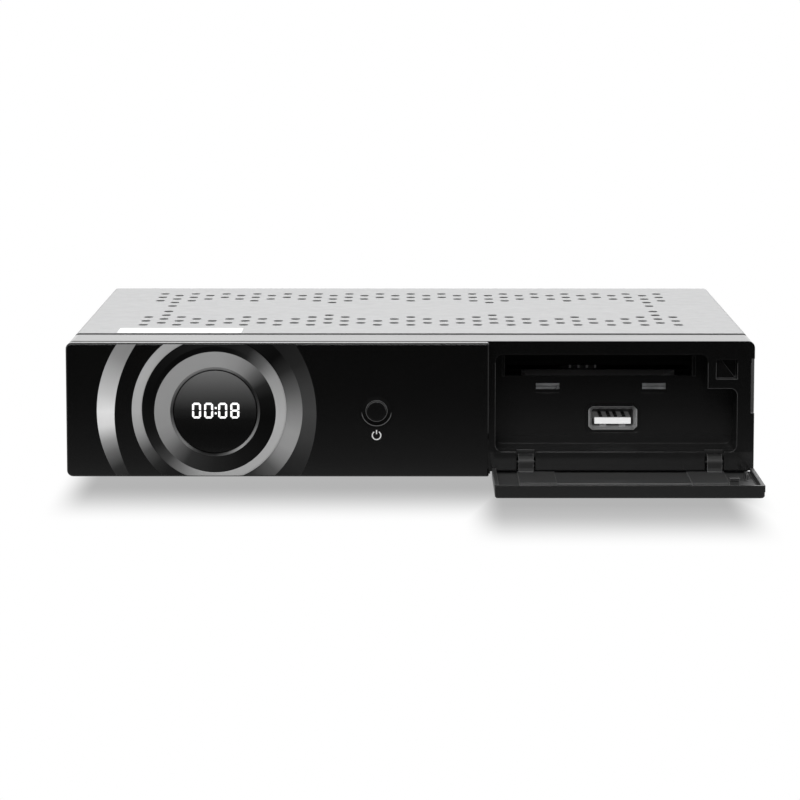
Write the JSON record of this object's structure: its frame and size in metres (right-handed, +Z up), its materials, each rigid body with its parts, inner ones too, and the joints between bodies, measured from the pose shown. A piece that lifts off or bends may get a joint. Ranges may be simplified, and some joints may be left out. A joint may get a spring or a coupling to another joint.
{
  "type": "satellite tv receiver",
  "caption": "Slim desktop satellite receiver box: gloss black front with a round display, standby button and a drop-down door over a card slot and USB bay, vented steel cover.",
  "frame": {"origin": "middle of the overall width and depth, on the surface that the feet stand on, with the door hanging open", "axes": "+X to the right along the front, +Y from the front to the back, +Z up"},
  "size_m": [0.203, 0.2054, 0.0447],
  "materials": {
    "black_gloss": "polished",
    "door_black": "polished",
    "lens_smoke": "polished smoked window",
    "ring_silver": "spun, satin",
    "arc_silver": "satin foil",
    "arc_grey": "dark satin foil",
    "button_black": "satin",
    "cover_paint": "fine satin paint",
    "zinc_steel": "zinc plated sheet",
    "rear_paint": "satin paint",
    "foot_rubber": "matte",
    "screw_black": "black oxide",
    "screw_zinc": "zinc plated",
    "pin_steel": "ground",
    "board_green": "solder mask",
    "board_tan": "paper laminate",
    "chip_black": "moulded epoxy",
    "plain_black": "moulded",
    "switch_grey": "moulded",
    "display_white": "moulded",
    "ribbon_grey": "insulation",
    "bright_steel": "bright nickel plate",
    "tongue_white": "moulded",
    "contact_gold": "gold flash",
    "post_brass": "turned",
    "heat_black": "black anodised",
    "heat_plain": "mill finish",
    "sleeve_dark": "shrink sleeve",
    "winding_yellow": "tape",
    "insert_white": "moulded",
    "fuse_glass": "glass tube with metal caps"
  },
  "bodies": {
    "case": {"front_frame": "black_gloss", "fascia_panel": "black_gloss", "display_lens": "lens_smoke", "display_ring": "ring_silver", "disc_rim": "ring_silver", "inner_arcs": "arc_silver", "shadow_arc": "arc_grey", "outer_arc": "arc_silver", "switch_body": "switch_grey", "front_board": "board_green", "front_board_screws": "screw_zinc", "display_block": "display_white", "infrared_receiver": "chip_black", "front_ribbon": "ribbon_grey", "hinge_pins": "pin_steel", "door_catch": "black_gloss", "card_bay": "black_gloss", "card_reader": "plain_black", "reader_contacts": "contact_gold", "reader_bracket": "zinc_steel", "usb_shell": "bright_steel", "usb_tongue": "tongue_white", "usb_contacts": "contact_gold", "usb_board": "board_green", "usb_posts": "post_brass", "top_cover": "cover_paint", "chassis_base": "zinc_steel", "rear_panel": "rear_paint", "feet": "foot_rubber", "cover_screws": "screw_black", "board_posts": "post_brass", "board_screws": "screw_zinc", "main_board": "board_green", "processor": "chip_black", "heat_sink": "heat_black", "memory_chips": "chip_black", "board_capacitors": "sleeve_dark", "tuner_can": "bright_steel", "aerial_connectors": "bright_steel", "aerial_nuts": "bright_steel", "hdmi_socket": "bright_steel", "hdmi_tongue": "plain_black", "network_socket": "bright_steel", "phono_block": "plain_black", "phono_barrels": "bright_steel", "phono_inserts": "insert_white", "power_board": "board_tan", "transformer": "winding_yellow", "mains_capacitor": "sleeve_dark", "output_capacitors": "sleeve_dark", "power_heat_sink": "heat_plain", "fuse": "fuse_glass", "supply_ribbon": "ribbon_grey", "mains_inlet": "plain_black", "inlet_pins": "bright_steel", "rocker_housing": "plain_black"},
    "door": {"door": "door_black"},
    "button": {"standby_button": "button_black", "switch_plunger": "plain_black"},
    "rocker": {"rocker": "plain_black"}
  },
  "joints": [
    {"name": "door_hinge", "type": "hinge", "parent": "case", "child": "door", "pos_m": [0.062, -0.06665, 0.0083], "axis": [-1, 0, 0], "range_deg": [0, 90]},
    {"name": "button_press", "type": "slide", "parent": "case", "child": "button", "axis": [0, 1, 0], "range_m": [0, 0.0005], "stiffness_N_per_m": 400},
    {"name": "rocker_tilt", "type": "hinge", "parent": "case", "child": "rocker", "pos_m": [-0.057, 0.08915, 0.023], "axis": [1, 0, 0], "range_deg": [0, 16]}
  ]
}
